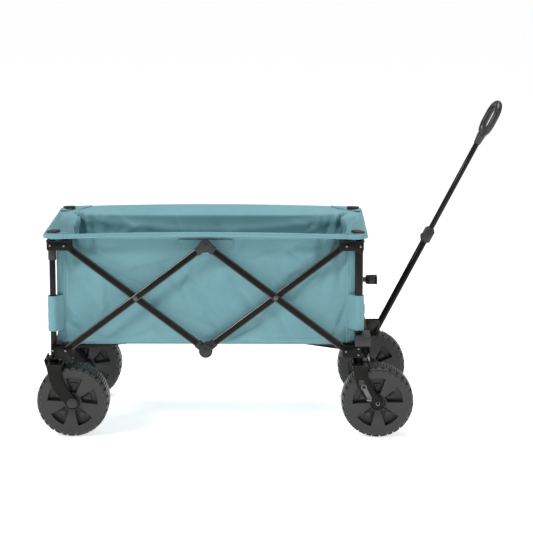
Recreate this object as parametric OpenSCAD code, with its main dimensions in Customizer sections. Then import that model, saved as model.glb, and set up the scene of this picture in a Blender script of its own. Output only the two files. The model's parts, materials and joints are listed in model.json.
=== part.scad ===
// Folding utility wagon: two pairs of crossed side bars, telescoping corner posts,
// a fabric tub, fixed rear forks, swivelling front forks and a telescoping pull handle.
// X runs from the rear to the handle, Y across the wagon and Z up from the ground.

/* [Side frame] */
// Distance along X from the middle of the wagon to a bar's end pivot
pivot_x = 387; // [370:1:400]
// Height of the lower bar pivots
low_z = 242; // [238:1:246]
// Height of the upper bar pivots
high_z = 536; // [520:1:545]
// Height of a flat-oval side bar's section
bar_h = 20; // [16:1:22]
// Thickness of a side bar's section
bar_t = 9; // [8:0.5:9]
// Radius of every frame pin
pin_r = 4; // [3:0.5:5]

/* [Posts] */
// Distance along X from the middle of the wagon to a corner post
post_x = 422; // [418:1:426]
// Distance across the wagon from the middle to a corner post
post_y = 225; // [222:1:228]
// Radius of a rear post
rear_post_r = 8.5; // [8:0.5:9.5]
// Radius of a front post
front_post_r = 11; // [10:0.5:11]

/* [Tub] */
// Half width of the tub between its side walls
tub_y = 206; // [196:1:208]
// Distance along X from the middle to an end wall
tub_x = 403; // [398:1:405]
// Height of the rim
rim_z = 566; // [560:1:572]
// How far the rim reaches from the middle, along X
rim_x = 443; // [438:1:446]
// How far the rim reaches from the middle, across
rim_y = 257; // [256:1:264]

/* [Wheels] */
// Radius of a wheel over its tread
wheel_r = 100; // [98:1:101]
// Width of a tyre
tyre_w = 84; // [76:1:84]
// How far a wheel's axle lies ahead of its fork's top
trail = 53; // [50:1:54]

/* [Handle] */
// Angle of the handle above the ground
handle_angle = 62.5; // [60:0.5:65]
// Height of the handle's pivot
handle_z = 247; // [244:1:250]
// Length of the lower handle tube, from the pivot
lower_tube = 316; // [300:1:330]
// Length from the pivot to the grip's neck
neck_at = 612; // [590:1:640]

/* [Hidden] */
$fn = 48;
// Pivot to pivot length and rest angle of a side bar
bar_len = norm([pivot_x, high_z - low_z]);
bar_angle = atan2(high_z - low_z, pivot_x);
// Middle of each of the three layers of side bars, counted outward
layer = [223.5, 234, 244.5];
// Inner and outer faces of a corner bracket
bracket_in = 210.5;
bracket_out = 253.5;
plate_t = 2.5;
axle_z = wheel_r;
fork_in = post_y - tyre_w / 2 - 4;
fork_out = post_y + tyre_w / 2 + 4;
fork_t = 3;
fork_top_z = 212;
beam_z = 273;
beam_x = 434;
brace_len = 387;
brace_z = 240;
// Half width, height and wall of a floor bar's flat tube
brace_r = 7;
brace_h = 14;
brace_wall = 1.5;
// Distance across from the middle to the lugs that carry the floor bars' pins
rear_lug_y = 196;
front_lug_y = 150;
lug_t = 8;
// Thickness of the cloth panels that stand in for the sewn tub
cloth_t = 4;
handle_x = 478;
// Where the inner handle tube ends, inside the lower one
inner_end = 268;
fit = 0.05;
grip_len = 134;
grip_t = 22;
// How far the rear wheels and the grip reach from the middle of the body, which is
// moved along X so that the whole object is centred on the origin
rear_reach = post_x - trail + wheel_r;
front_reach = handle_x + (neck_at + grip_len) * cos(handle_angle) + grip_t / 2 * sin(handle_angle);
body_x = (rear_reach - front_reach) / 2;

// A rod along Y between two distances from the middle, mirrored to the far side by side = 1
module rod_y(x, z, from, to, r, side) {
    translate([x, side * from, z]) rotate([-90 * side, 0, 0]) cylinder(h = to - from, r = r);
}

// A plate in the XZ plane between two distances from the middle
module plate_y(from, to, side) {
    translate([0, side > 0 ? to : -from, 0]) rotate([90, 0, 0]) linear_extrude(to - from) children();
}

module both_sides() {
    for (side = [-1, 1]) let($side = side) children();
}

// ---- Side bars -------------------------------------------------------------

// Outline of a bar: a strip with round ends
module bar_outline(h) {
    translate([0, -h / 2]) square([bar_len, h]);
    for (x = [0, bar_len]) translate([x, 0]) circle(h / 2);
}

// Flat-oval tube on both sides, with a hole at each end and in the middle
module side_bar(start, angle, level, hole_r) {
    y = layer[level];
    both_sides() difference() {
        plate_y(y - bar_t / 2, y + bar_t / 2, $side)
            translate(start) rotate(angle) bar_outline(bar_h);
        // the tube's hollow, closed at both ends
        plate_y(y - bar_t / 2 + 1.5, y + bar_t / 2 - 1.5, $side)
            translate(start) rotate(angle) for (x = [24, bar_len / 2 + 14])
                translate([x, 3 - bar_h / 2]) square([bar_len / 2 - 38, bar_h - 6]);
        for (k = [0, 1, 2])
            translate([start[0] + k * bar_len / 2 * cos(angle), 0, start[1] + k * bar_len / 2 * sin(angle)])
                rod_y(0, 0, y - bar_t, y + bar_t, hole_r[k], $side);
    }
}

bar_from_rear_low = [body_x - pivot_x, low_z];
bar_from_rear_high = [body_x - pivot_x, high_z];
bar_from_top_hub = [body_x, high_z];
bar_from_low_hub = [body_x, low_z];

module bars_b() {
    color("#232322") side_bar(bar_from_rear_low, bar_angle, 2, [pin_r + fit, pin_r, pin_r]);
}
module bars_a() {
    color("#232322") side_bar(bar_from_rear_high, -bar_angle, 1, [pin_r + fit, pin_r + fit, pin_r]);
}
module bars_c() {
    color("#232322") side_bar(bar_from_top_hub, -bar_angle, 1, [pin_r + fit, pin_r, pin_r + fit]);
}
module bars_d() {
    color("#232322") side_bar(bar_from_low_hub, bar_angle, 0, [pin_r + 0.6, pin_r + fit, pin_r + fit]);
}

// Discs over the joints at the middle of each side, each with its pin; the crossing rivets too
module hub_disc(x, z, r, from, to, inner) {
    both_sides() {
        rod_y(x, z, from, to, r, $side);
        rod_y(x, z, to, to + 2.5, 7, $side);
        rod_y(x, z, inner, from, pin_r, $side);
    }
}
module crossing_rivet(x, inner, outer) {
    both_sides() {
        rod_y(x, (low_z + high_z) / 2, inner, outer, pin_r, $side);
        rod_y(x, (low_z + high_z) / 2, outer, outer + 2, 6.5, $side);
    }
}
module top_hubs() {
    color("#45464a") hub_disc(body_x, high_z, 18.5, layer[2] + bar_t / 2, 255, layer[1] - bar_t / 2);
}
module bottom_hubs() {
    color("#45464a") {
        hub_disc(body_x, low_z, 19, layer[1] + bar_t / 2, 254, layer[0] - bar_t / 2);
        both_sides() plate_y(layer[1] + bar_t / 2, 250, $side) translate([body_x, low_z])
            polygon([[-3, 16], [-3, 24], [3, 26], [14, 18], [17, 8]]);
    }
}
module rear_rivets() {
    color("silver") crossing_rivet(body_x - pivot_x / 2, layer[1] - bar_t / 2, layer[2] + bar_t / 2);
}
module front_rivets() {
    color("silver") crossing_rivet(body_x + pivot_x / 2, layer[0] - bar_t / 2, layer[1] + bar_t / 2);
}

// ---- Corner brackets and posts ---------------------------------------------

// Pressed bracket: a plate on each side of the bar's end and a flat web that joins them.
// dir is -1 at the rear and 1 at the front; reach is how far the plates pass the pivot.
module channel(dir, z0, z1, reach, back, web_z) {
    x_post = body_x + dir * post_x;
    x_back = x_post + dir * back;
    x_open = body_x + dir * (pivot_x - reach);
    x_left = min(x_back, x_open);
    for (y = [bracket_in, bracket_out - plate_t]) plate_y(y, y + plate_t, $side)
        translate([x_left, z0]) offset(r = 4) offset(delta = -4) square([abs(x_back - x_open), z1 - z0]);
    translate([min(x_left, x_post - 14), $side > 0 ? bracket_in : -bracket_out, web_z])
        cube([max(abs(x_back - x_open), abs(x_post + dir * 14 - x_open)), bracket_out - bracket_in, plate_t]);
}

// Pin through a bracket's plates and a bar's end, with a domed head outside
module bracket_pin(x, z) {
    rod_y(x, z, bracket_in - 1.5, bracket_out + 1.5, pin_r, $side);
    rod_y(x, z, bracket_out, bracket_out + 2.5, 6, $side);
}

module rear_bracket(side) {
    $side = side;
    color("#232322") {
        difference() {
            union() {
                channel(-1, 219, 253, 20, -4, 219);
                translate([body_x - post_x, side * post_y, 219]) cylinder(h = 37, r = rear_post_r);
            }
            translate([body_x - post_x, side * post_y, 218]) cylinder(h = 40, r = 6);
        }
        bracket_pin(body_x - pivot_x, low_z);
        // the two rivets that hold the post's socket between the plates
        rod_y(body_x - post_x, 243, bracket_in, post_y - rear_post_r + 1, 3, side);
        rod_y(body_x - post_x, 243, post_y + rear_post_r - 1, bracket_out + 2, 3, side);
    }
}
module rear_bracket_near() { rear_bracket(-1); }
module rear_bracket_far() { rear_bracket(1); }

module rear_rod(side) {
    color("#3a3a3c") translate([body_x - post_x, side * post_y, 216]) cylinder(h = 284, r = 5.9);
}
module rear_rod_near() { rear_rod(-1); }
module rear_rod_far() { rear_rod(1); }

module front_bracket(side) {
    $side = side;
    color("#232322") difference() {
        union() {
            channel(1, 224, 258.5, 10, 7, 224);
            bracket_pin(body_x + pivot_x, low_z);
        }
        // stepped hole: the caster's stem below, the post's inner rod above
        translate([body_x + post_x, side * post_y, 220]) cylinder(h = 40, r = 5 + fit);
        translate([body_x + post_x, side * post_y, 227]) cylinder(h = 40, r = 7.5);
    }
}
module front_bracket_near() { front_bracket(-1); }
module front_bracket_far() { front_bracket(1); }

module front_rods() {
    color("#3a3a3c") both_sides()
        translate([body_x + post_x, $side * post_y, 227]) cylinder(h = 283, r = 7.4);
}

module post(x, r, bore, z0, z1) {
    both_sides() translate([x, $side * post_y, z0]) difference() {
        cylinder(h = z1 - z0, r = r);
        translate([0, 0, -1]) cylinder(h = z1 - z0 - 5, r = bore);
    }
}
module rear_posts() {
    color("#232322") post(body_x - post_x, rear_post_r, 6.2, 257, 550);
}
module front_posts() {
    color("#232322") post(body_x + post_x, front_post_r, 7.7, 289, 550);
}

module top_brackets(dir, reach, socket_r, post_r) {
    x = body_x + dir * post_x;
    both_sides() difference() {
        union() {
            channel(dir, 523, 549.5, reach, 12, 547);
            bracket_pin(body_x + dir * pivot_x, high_z);
            translate([x, $side * post_y, 512]) cylinder(h = 36, r = socket_r);
        }
        translate([x, $side * post_y, 500]) cylinder(h = 60, r = post_r);
    }
}
module rear_top_brackets() { color("#232322") top_brackets(-1, 20, 10.5, rear_post_r); }
module front_top_brackets() { color("#232322") top_brackets(1, 20, front_post_r + 0.6, front_post_r); }

// Plastic cap over each corner of the rim
module caps(dir) {
    both_sides() translate([body_x + dir * post_x, $side * post_y, rim_z + 3]) {
        hull() {
            cylinder(h = 4, r = 15);
            translate([-dir * 10, -$side * 8, 0]) cylinder(h = 6, r = 12);
        }
        translate([0, 0, 547 - rim_z]) cylinder(h = rim_z - 547, r = 8);
    }
}
module rear_caps() { color("#333438") caps(-1); }
module front_caps() { color("#333438") caps(1); }

// ---- Tub -------------------------------------------------------------------

// One end of the tub: its wall and the end of the rim, with cut corners
module end_panel(dir) {
    wall_x = body_x + dir * tub_x;
    edge = dir * (rim_x - tub_x);
    translate([wall_x - (dir > 0 ? cloth_t : 0), -tub_y + 8, 262])
        cube([cloth_t, 2 * tub_y - 16, rim_z - 262]);
    translate([wall_x, 0, rim_z - 3]) linear_extrude(6) difference() {
        polygon([[-dir * 4, -rim_y], [edge - dir * 30, -rim_y], [edge, -rim_y + 26],
            [edge, rim_y - 26], [edge - dir * 30, rim_y], [-dir * 4, rim_y]]);
        // clearance for the posts' caps
        for (s = [-1, 1]) translate([dir * (post_x - tub_x), s * post_y]) circle(8.2);
    }
}
module rear_end_panel() { color("#6fa3ab") end_panel(-1); }
module front_end_panel() { color("#6fa3ab") end_panel(1); }

module side_panel(side) {
    half = tub_x - 6;
    inner_y = side > 0 ? tub_y - cloth_t : -tub_y;
    translate([body_x - half, inner_y, 262]) cube([2 * half, cloth_t, rim_z - 262]);
    // the rim, turned out over the side bars
    translate([body_x - half, side > 0 ? tub_y - cloth_t : -rim_y, rim_z - 3])
        cube([2 * half, rim_y - tub_y + cloth_t, 6]);
}
module side_panel_near() { color("#69a0aa") side_panel(-1); }
module side_panel_far() { color("#69a0aa") side_panel(1); }

module floor_panel() {
    half = tub_x - 6;
    color("#5b929c") translate([body_x - half, -tub_y + 8, 254]) cube([2 * half, 2 * tub_y - 16, 6]);
}

// ---- Floor braces ----------------------------------------------------------

// Two flat tubes that run from the corners toward the middle of the floor and turn there
// into a pair of tips (rear) or one tongue (front). dir is -1 at the rear.
module brace_outline(dir, tip_y, turn, root_y, r) {
    root = body_x + dir * brace_len;
    bend = body_x + dir * turn;
    end = body_x - dir * 6;
    for (s = [-1, 1]) {
        hull() {
            translate([root, s * root_y]) circle(r);
            translate([bend, s * tip_y]) circle(r);
        }
        hull() {
            translate([bend, s * tip_y]) circle(r);
            translate([end, s * tip_y]) circle(r);
        }
    }
}
module brace(dir, tip_y, turn, root_y) {
    run = [dir * (turn - brace_len), tip_y - root_y];
    inside = brace_h - 2 * brace_wall;
    difference() {
        translate([0, 0, brace_z - brace_h / 2]) linear_extrude(brace_h)
            brace_outline(dir, tip_y, turn, root_y, brace_r);
        // the hollow of each slanted length, closed at both ends
        for (s = [-1, 1])
            translate([body_x + dir * brace_len, s * root_y, brace_z]) rotate([0, 0, atan2(s * run[1], run[0])])
                translate([18, -inside / 2, -inside / 2]) cube([norm(run) - 30, inside, inside]);
    }
}
// Hollow pin on which a pair of floor bars turns
module cross_pin(x) {
    translate([x, -206, brace_z]) rotate([-90, 0, 0]) difference() {
        cylinder(h = 412, r = 5);
        translate([0, 0, 28]) cylinder(h = 412 - 56, r = 3.4);
    }
}
module rear_brace() {
    color("#232322") {
        brace(-1, 34, 60, 186);
        for (s = [-1, 1]) rod_y(body_x, brace_z, 12, 34, 6, s);
        cross_pin(body_x - brace_len);
    }
}
module front_brace() {
    color("#232322") {
        brace(1, 3, 110, 186);
        cross_pin(body_x + brace_len);
    }
}

// ---- Cross beams -----------------------------------------------------------

module rear_beam() {
    color("#232322") difference() {
        translate([body_x - post_x - 6, -bracket_in, 226]) cube([22, 2 * bracket_in, 25]);
        translate([body_x - post_x - 4, -bracket_in - 1, 228]) cube([18, 2 * bracket_in + 2, 21]);
    }
    color("#232322") for (s = [-1, 1]) difference() {
        translate([body_x - post_x + 16, s * (rear_lug_y + lug_t / 2) - lug_t / 2, 232])
            cube([26, lug_t, 16]);
        lug_bore(body_x - brace_len, s * rear_lug_y);
    }
}
module lug_bore(x, y) {
    translate([x, y - 12, brace_z]) rotate([-90, 0, 0]) cylinder(h = 24, r = 5 + fit);
}

module front_beam() {
    color("#232322") difference() {
        translate([body_x + beam_x - 14, -180, beam_z - 12]) cube([28, 360, 24]);
        translate([body_x + beam_x - 12, -181, beam_z - 10]) cube([24, 362, 20]);
    }
    color("#232322") for (s = [-1, 1]) difference() {
        translate([body_x + brace_len - 8, s * (front_lug_y + lug_t / 2) - lug_t / 2, 232]) {
            cube([58, lug_t, 18]);
            translate([41, 0, 0]) cube([17, lug_t, beam_z - 12 - 232]);
        }
        lug_bore(body_x + brace_len, s * front_lug_y);
    }
}

module beam_housings() {
    color("#303135") both_sides() difference() {
        translate([body_x + 411, $side > 0 ? 181 : -268, 259]) cube([43, 87, 28]);
        translate([body_x + post_x, $side * post_y, 258]) cylinder(h = 40, r = 7.5);
    }
}

// ---- Forks, axles and wheels -----------------------------------------------

// Side arm of a fork: straight down from the top plate, then swept to the axle
module arm(x, from, to, side) {
    difference() {
        plate_y(from, to, side) {
            hull() {
                translate([x - 24, fork_top_z - 5]) square([48, 6]);
                translate([x - 3, fork_top_z - 36]) circle(22);
            }
            hull() {
                translate([x - 3, fork_top_z - 36]) circle(22);
                translate([x + 14, fork_top_z - 70]) circle(20);
            }
            hull() {
                translate([x + 14, fork_top_z - 70]) circle(20);
                translate([x + trail, axle_z]) circle(17);
            }
        }
        rod_y(x + trail, axle_z, from - 1, to + 1, 5, side);
    }
}

module fork(x, side) {
    top_w = fork_out + fork_t - fork_in + fork_t;
    arm(x, fork_out, fork_out + fork_t, side);
    arm(x, fork_in - fork_t, fork_in, side);
    translate([x - 24, side > 0 ? fork_in - fork_t : -fork_out - fork_t, fork_top_z])
        cube([48, top_w, 4]);
}

module rear_fork(side) {
    x = body_x - post_x;
    color("#232322") {
        fork(x, side);
        translate([x, side * post_y, fork_top_z + 4]) difference() {
            cylinder(h = 3, r = 20);
            translate([0, 0, -1]) cylinder(h = 5, r = 6);
        }
    }
}
module rear_fork_near() { rear_fork(-1); }
module rear_fork_far() { rear_fork(1); }

// The caster's fork turns on a stem in the front bracket, with a race between them
module caster_fork(side) {
    x = body_x + post_x;
    color("#232322") {
        fork(x, side);
        translate([x, side * post_y, fork_top_z + 4]) cylinder(h = 4, r = 19);
        translate([x, side * post_y, fork_top_z + 8]) cylinder(h = 3.6, r = 13);
        translate([x, side * post_y, fork_top_z + 8]) cylinder(h = 6.5, r = 5);
        rod_y(x + 14, 146, fork_out, fork_out + fork_t + 5.5, 3.5, side);
        rod_y(x + 14, 146, fork_out + fork_t + 3.8, fork_out + fork_t + 5.5, 6, side);
    }
}
module caster_fork_near() { caster_fork(-1); }
module caster_fork_far() { caster_fork(1); }

// Axle with a head at each end, riveted into both arms
module axle(x, side) {
    color("silver") {
        rod_y(x, axle_z, fork_in - fork_t - 2, fork_out + fork_t + 2, 5, side);
        rod_y(x, axle_z, fork_out + fork_t, fork_out + fork_t + 7, 12, side);
        rod_y(x, axle_z, fork_in - fork_t - 5, fork_in - fork_t, 9, side);
    }
}
module rear_axle_near() { axle(body_x - post_x + trail, -1); }
module rear_axle_far() { axle(body_x - post_x + trail, 1); }
module front_axle_near() { axle(body_x + post_x + trail, -1); }
module front_axle_far() { axle(body_x + post_x + trail, 1); }

// Tyre with tread blocks, five-window disc and a bored hub
module wheel(x, side, turn) {
    half = tyre_w / 2;
    color("#47484b") translate([x, side * post_y, axle_z]) rotate([90, 0, 0]) {
        rotate_extrude() difference() {
            polygon([[wheel_r - 27, -half + 8], [wheel_r - 24, -half + 3], [wheel_r - 8, -half],
                [wheel_r, -half + 9], [wheel_r, half - 9], [wheel_r - 8, half], [wheel_r - 24, half - 3],
                [wheel_r - 27, half - 8]]);
            // the tyre's air space
            polygon([[wheel_r - 22, -half + 9], [wheel_r - 9, -half + 6], [wheel_r - 6, -half + 12],
                [wheel_r - 6, half - 12], [wheel_r - 9, half - 6], [wheel_r - 22, half - 9]]);
        }
        difference() {
            union() {
                cylinder(h = 5, r = wheel_r - 26, center = true);
                for (z = [-1, 1]) translate([0, 0, z * (half - 12)])
                    linear_extrude(4, center = true) difference() {
                        circle(wheel_r - 26);
                        for (k = [0:4]) rotate(turn + 72 * k) intersection() {
                            difference() {
                                circle(wheel_r - 33);
                                circle(24);
                            }
                            polygon([[0, 0], [80, 42], [80, -42]]);
                        }
                    }
                cylinder(h = tyre_w - 8, r = 14, center = true);
            }
            cylinder(h = tyre_w + 2, r = 5 + fit, center = true);
        }
    }
}
module rear_wheel_near() { wheel(body_x - post_x + trail, -1, 8); }
module rear_wheel_far() { wheel(body_x - post_x + trail, 1, 30); }
module front_wheel_near() { wheel(body_x + post_x + trail, -1, 20); }
module front_wheel_far() { wheel(body_x + post_x + trail, 1, 44); }

// Foot lever of the front brake, on a pin outside the fork's outer arm
module brake_lever(side) {
    x = body_x + post_x;
    y = fork_out + fork_t + 0.4;
    color("#8a8c8e") {
        difference() {
            plate_y(y, y + 3, side) translate([x + 14, 146]) rotate(-62) {
                circle(8);
                translate([0, -6]) square([38, 12]);
            }
            rod_y(x + 14, 146, y - 1, y + 5, 3.5 + fit, side);
        }
        translate([x + 22, side > 0 ? y : -y - 14, 110]) cube([13, 14, 3]);
    }
}
module brake_lever_near() { brake_lever(-1); }
module brake_lever_far() { brake_lever(1); }

// ---- Handle ----------------------------------------------------------------

module clip_bar() {
    color("#232322") for (s = [-1, 1]) difference() {
        translate([body_x + post_x, s * (post_y - 3), 397]) rotate([s * 90, 0, 0])
            cylinder(h = post_y - 12, r = 6);
        // hollow between the block in the middle and the post
        translate([body_x + post_x, s * (post_y - 16), 397]) rotate([s * 90, 0, 0])
            cylinder(h = post_y - 36, r = 4.5);
        translate([body_x + post_x, s * post_y, 380]) cylinder(h = 40, r = front_post_r);
    }
    color("#232322") translate([body_x + post_x - 7, -13, 390]) cube([14, 26, 14]);
}

// U-shaped clip that holds the upright handle
module handle_clip() {
    x = body_x + post_x + 7;
    color("#303135") {
        translate([x, -8, 391]) cube([14, 16, 12]);
        for (s = [-1, 1]) translate([x + 10, s > 0 ? 10 : -14, 387]) cube([43, 4, 20]);
        translate([x + 10, -14, 387]) cube([8, 28, 20]);
    }
}

module handle_bracket() {
    color("#232322") {
        for (s = [-1, 1]) translate([body_x + beam_x + 14, s > 0 ? 11 : -14, 234]) cube([42, 3, 46]);
        translate([body_x + beam_x + 14, -14, 262]) cube([4, 28, 18]);
        translate([body_x + handle_x, -17, handle_z]) rotate([-90, 0, 0]) cylinder(h = 34, r = 4);
    }
}

// Everything on the handle is drawn along +X from its pivot, then turned up
module along_handle() {
    translate([body_x + handle_x, 0, handle_z]) rotate([0, -handle_angle, 0]) children();
}

module handle_lower() {
    color("#232322") along_handle() difference() {
        union() {
            translate([8, 0, 0]) rotate([0, 90, 0]) cylinder(h = lower_tube - 8, r = 9.5);
            rotate([-90, 0, 0]) cylinder(h = 19, r = 11, center = true);
        }
        translate([20, 0, 0]) rotate([0, 90, 0]) cylinder(h = lower_tube, r = 8);
        rotate([-90, 0, 0]) cylinder(h = 40, r = 4 + fit, center = true);
    }
}

module handle_collar() {
    color("#303135") along_handle() translate([lower_tube - 22, 0, 0]) difference() {
        union() {
            rotate([0, 90, 0]) cylinder(h = 44, r = 14);
            translate([6, -7, 8]) cube([30, 14, 12]);
            translate([4, -13, -13]) cube([34, 26, 26]);
        }
        translate([-1, 0, 0]) rotate([0, 90, 0]) cylinder(h = 23, r = 9.5);
        rotate([0, 90, 0]) cylinder(h = 50, r = 7.9);
        translate([14, 0, 0]) cylinder(h = 40, r = 5);
    }
}

module lock_button() {
    color("#55565a") along_handle() translate([lower_tube - 8, 0, 13.5]) cylinder(h = 10, r = 4.8);
}

module handle_upper() {
    color("#232322") along_handle() difference() {
        translate([inner_end, 0, 0]) rotate([0, 90, 0]) cylinder(h = neck_at - inner_end, r = 7.7);
        translate([inner_end - 1, 0, 0]) rotate([0, 90, 0]) cylinder(h = neck_at - inner_end - 20, r = 6.2);
    }
}

// Oval ring with its long side along the handle
module grip_ring(t, r, core) {
    translate([grip_len - 54, 0, 0]) linear_extrude(t, center = true)
        offset(r = r) square(core, center = true);
}
module grip() {
    color("#303135") along_handle() translate([neck_at, 0, 0]) {
        rotate([0, 90, 0]) cylinder(h = 27, r = 11);
        difference() {
            grip_ring(grip_t, 26, [56, 40]);
            grip_ring(grip_t + 2, 14, [48, 32]);
        }
    }
}

rear_beam();
rear_bracket_near();
rear_bracket_far();
rear_rod_near();
rear_rod_far();
rear_fork_near();
rear_fork_far();
rear_axle_near();
rear_axle_far();
rear_wheel_near();
rear_wheel_far();
bars_b();
bars_a();
bars_c();
bars_d();
top_hubs();
rear_rivets();
front_rivets();
bottom_hubs();
rear_top_brackets();
rear_posts();
rear_caps();
rear_end_panel();
side_panel_near();
side_panel_far();
floor_panel();
front_top_brackets();
front_posts();
front_caps();
front_end_panel();
clip_bar();
handle_clip();
front_beam();
beam_housings();
front_bracket_near();
front_bracket_far();
front_rods();
handle_bracket();
rear_brace();
front_brace();
caster_fork_near();
caster_fork_far();
front_axle_near();
front_axle_far();
front_wheel_near();
front_wheel_far();
brake_lever_near();
brake_lever_far();
handle_lower();
handle_collar();
lock_button();
handle_upper();
grip();
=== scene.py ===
import json
import math
import random

import bmesh
import bpy
import numpy as np
from mathutils import Matrix, Vector


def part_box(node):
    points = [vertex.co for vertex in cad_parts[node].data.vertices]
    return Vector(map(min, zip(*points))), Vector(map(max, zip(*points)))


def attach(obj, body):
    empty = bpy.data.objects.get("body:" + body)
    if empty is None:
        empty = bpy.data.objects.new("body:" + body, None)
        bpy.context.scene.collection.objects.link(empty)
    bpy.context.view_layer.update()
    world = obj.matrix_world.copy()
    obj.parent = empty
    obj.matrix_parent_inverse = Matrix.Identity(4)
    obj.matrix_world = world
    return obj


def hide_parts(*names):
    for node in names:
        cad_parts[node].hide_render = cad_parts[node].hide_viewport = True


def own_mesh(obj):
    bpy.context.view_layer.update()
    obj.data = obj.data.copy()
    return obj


# The folding wagon's frame, as packed, and the box that it fills. Near is the side at -Y,
# where the camera stands, and every length from here on is in metres.
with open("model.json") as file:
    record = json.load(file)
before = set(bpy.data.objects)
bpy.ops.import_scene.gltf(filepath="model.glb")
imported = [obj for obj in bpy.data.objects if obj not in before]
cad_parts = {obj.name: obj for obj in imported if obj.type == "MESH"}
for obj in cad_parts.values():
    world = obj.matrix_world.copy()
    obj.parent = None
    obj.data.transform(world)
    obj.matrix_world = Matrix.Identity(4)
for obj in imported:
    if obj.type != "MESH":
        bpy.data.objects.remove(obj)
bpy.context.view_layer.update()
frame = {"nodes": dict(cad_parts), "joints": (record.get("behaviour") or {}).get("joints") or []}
bpy.ops.object.select_all(action="DESELECT")


def middle(node):
    low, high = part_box(node)
    return (Vector(low) + Vector(high)) / 2


MID_X = (middle("rear_posts").x + middle("front_posts").x) / 2
POST_X = middle("front_posts").x - MID_X
POST_Y = -middle("rear_rod_near").y

# ---- Studio ----------------------------------------------------------------
# A long lens from well back, a little above the rim and nearly square to the side,
# over a white floor that runs into a white surround.
camera_data = bpy.data.cameras.new("camera")
camera_data.sensor_width = 36
camera_data.lens = 142.6
camera_data.clip_end = 60
camera = bpy.data.objects.new("camera", camera_data)
bpy.context.collection.objects.link(camera)
camera.location = (MID_X + 0.219, -5.94, 1.505)
camera.rotation_euler = (math.radians(90 - 10.22), 0, math.radians(0.517))
bpy.context.scene.camera = camera
bpy.context.scene.view_settings.view_transform = "Standard"

bpy.ops.mesh.primitive_plane_add(size=60, location=(0, 0, -0.0005))
floor = bpy.context.object
floor.name = "studio_floor"
floor_paint = bpy.data.materials.new("studio_floor")
floor_paint.use_nodes = True
floor_shader = floor_paint.node_tree.nodes["Principled BSDF"]
floor_shader.inputs["Base Color"].default_value = (0.9, 0.9, 0.9, 1)
floor_shader.inputs["Roughness"].default_value = 0.9
# the sweep glows a little, as a lit white table does, so it stays white to the horizon
floor_shader.inputs["Emission Color"].default_value = (1, 1, 1, 1)
floor_shader.inputs["Emission Strength"].default_value = 0.68
floor.data.materials.append(floor_paint)

surround = bpy.data.worlds.new("surround")
surround.use_nodes = True
backdrop = surround.node_tree.nodes["Background"]
backdrop.inputs["Color"].default_value = (1, 1, 1, 1)
# the surround is pure white to the eye, and dimmer as a source of light
rays = surround.node_tree.nodes.new("ShaderNodeLightPath")
glow = surround.node_tree.nodes.new("ShaderNodeMapRange")
glow.inputs["To Min"].default_value = 0.34
glow.inputs["To Max"].default_value = 1.0
surround.node_tree.links.new(rays.outputs["Is Camera Ray"], glow.inputs["Value"])
surround.node_tree.links.new(glow.outputs[0], backdrop.inputs["Strength"])
bpy.context.scene.world = surround


def softbox(name, place, aim, size, power):
    data = bpy.data.lights.new(name, "AREA")
    data.shape = "RECTANGLE"
    data.size, data.size_y = size
    data.energy = power
    lamp = bpy.data.objects.new(name, data)
    bpy.context.collection.objects.link(lamp)
    lamp.location = place
    lamp.rotation_euler = (Vector(aim) - Vector(place)).to_track_quat("-Z", "Y").to_euler()


softbox("key", (-2.9, -2.7, 2.9), (0, 0, 0.3), (0.8, 0.8), 92)
softbox("top", (0.5, 0.4, 3.4), (0, 0, 0.3), (1.8, 0.8), 66)
softbox("strip", (2.8, -1.8, 1.4), (0, 0, 0.4), (0.3, 2.0), 16)

# ---- Powder-coated steel ---------------------------------------------------
# Satin black powder coat, slightly pebbled, with paler edges: partly where the coat is thin, partly a painted
# highlight for the light the edges catch.
# The grain and the edge mask are groups, because the plastics use them too.


def new_group(name, inputs, outputs):
    group = bpy.data.node_groups.new(name, "ShaderNodeTree")
    for label, kind, value in inputs:
        socket = group.interface.new_socket(label, in_out="INPUT", socket_type=kind)
        socket.default_value = value
    for label, kind in outputs:
        group.interface.new_socket(label, in_out="OUTPUT", socket_type=kind)
    start = group.nodes.new("NodeGroupInput")
    end = group.nodes.new("NodeGroupOutput")
    return group, start, end


def add(tree, kind, inputs=None, **values):
    node = tree.nodes.new(kind)
    for key, value in values.items():
        setattr(node, key, value)
    for socket, value in (inputs or {}).items():
        node.inputs[socket].default_value = value
    return node


def mix_colours(tree, share, first, second):
    node = add(tree, "ShaderNodeMix", data_type="RGBA")
    tree.links.new(share, node.inputs[0])
    tree.links.new(first, node.inputs[6])
    tree.links.new(second, node.inputs[7])
    return node.outputs[2]


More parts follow.
